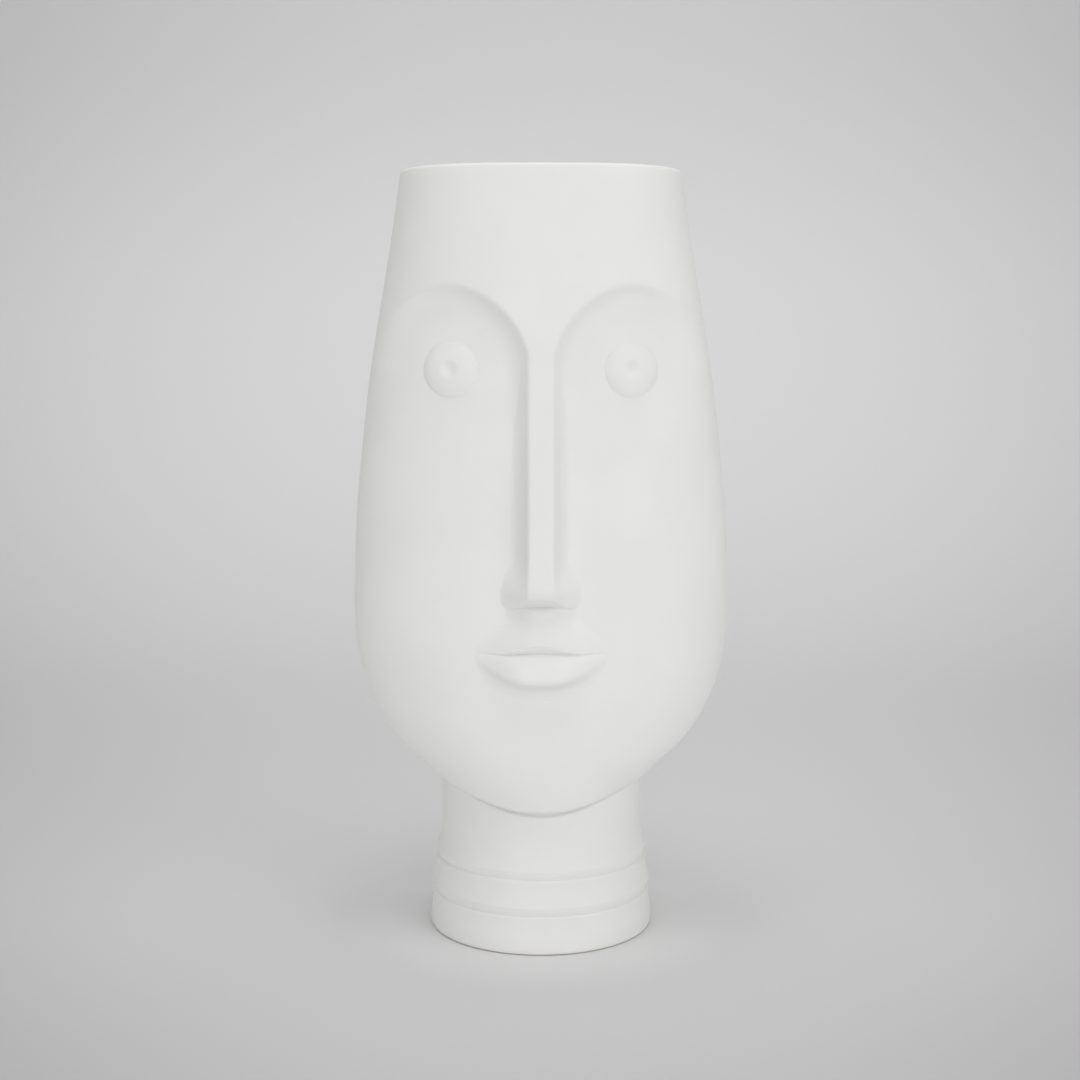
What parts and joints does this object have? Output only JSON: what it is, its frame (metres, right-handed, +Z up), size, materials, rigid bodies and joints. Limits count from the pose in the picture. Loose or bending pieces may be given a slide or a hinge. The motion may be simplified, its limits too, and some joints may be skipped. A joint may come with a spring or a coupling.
{
  "type": "face vase",
  "caption": "tall hollow ceramic vase shaped as a stylised face on a stepped round neck, open at the top, free-standing",
  "frame": {"origin": "centre of the round standing ring, on the table plane", "axes": "+Z up, the face looks towards -Y, +X is the viewer's right when looking at the face"},
  "size_m": [0.174, 0.1193, 0.35],
  "materials": {
    "matt_ceramic": "matt off-white ceramic with a fine dry surface, unglazed on the standing ring"
  },
  "bodies": {
    "root": {"head_shell": "matt_ceramic", "nose": "matt_ceramic", "eye_left": "matt_ceramic", "eye_right": "matt_ceramic", "upper_lip": "matt_ceramic", "lower_lip": "matt_ceramic", "neck": "matt_ceramic", "middle_ring": "matt_ceramic", "foot": "matt_ceramic"}
  },
  "joints": []
}
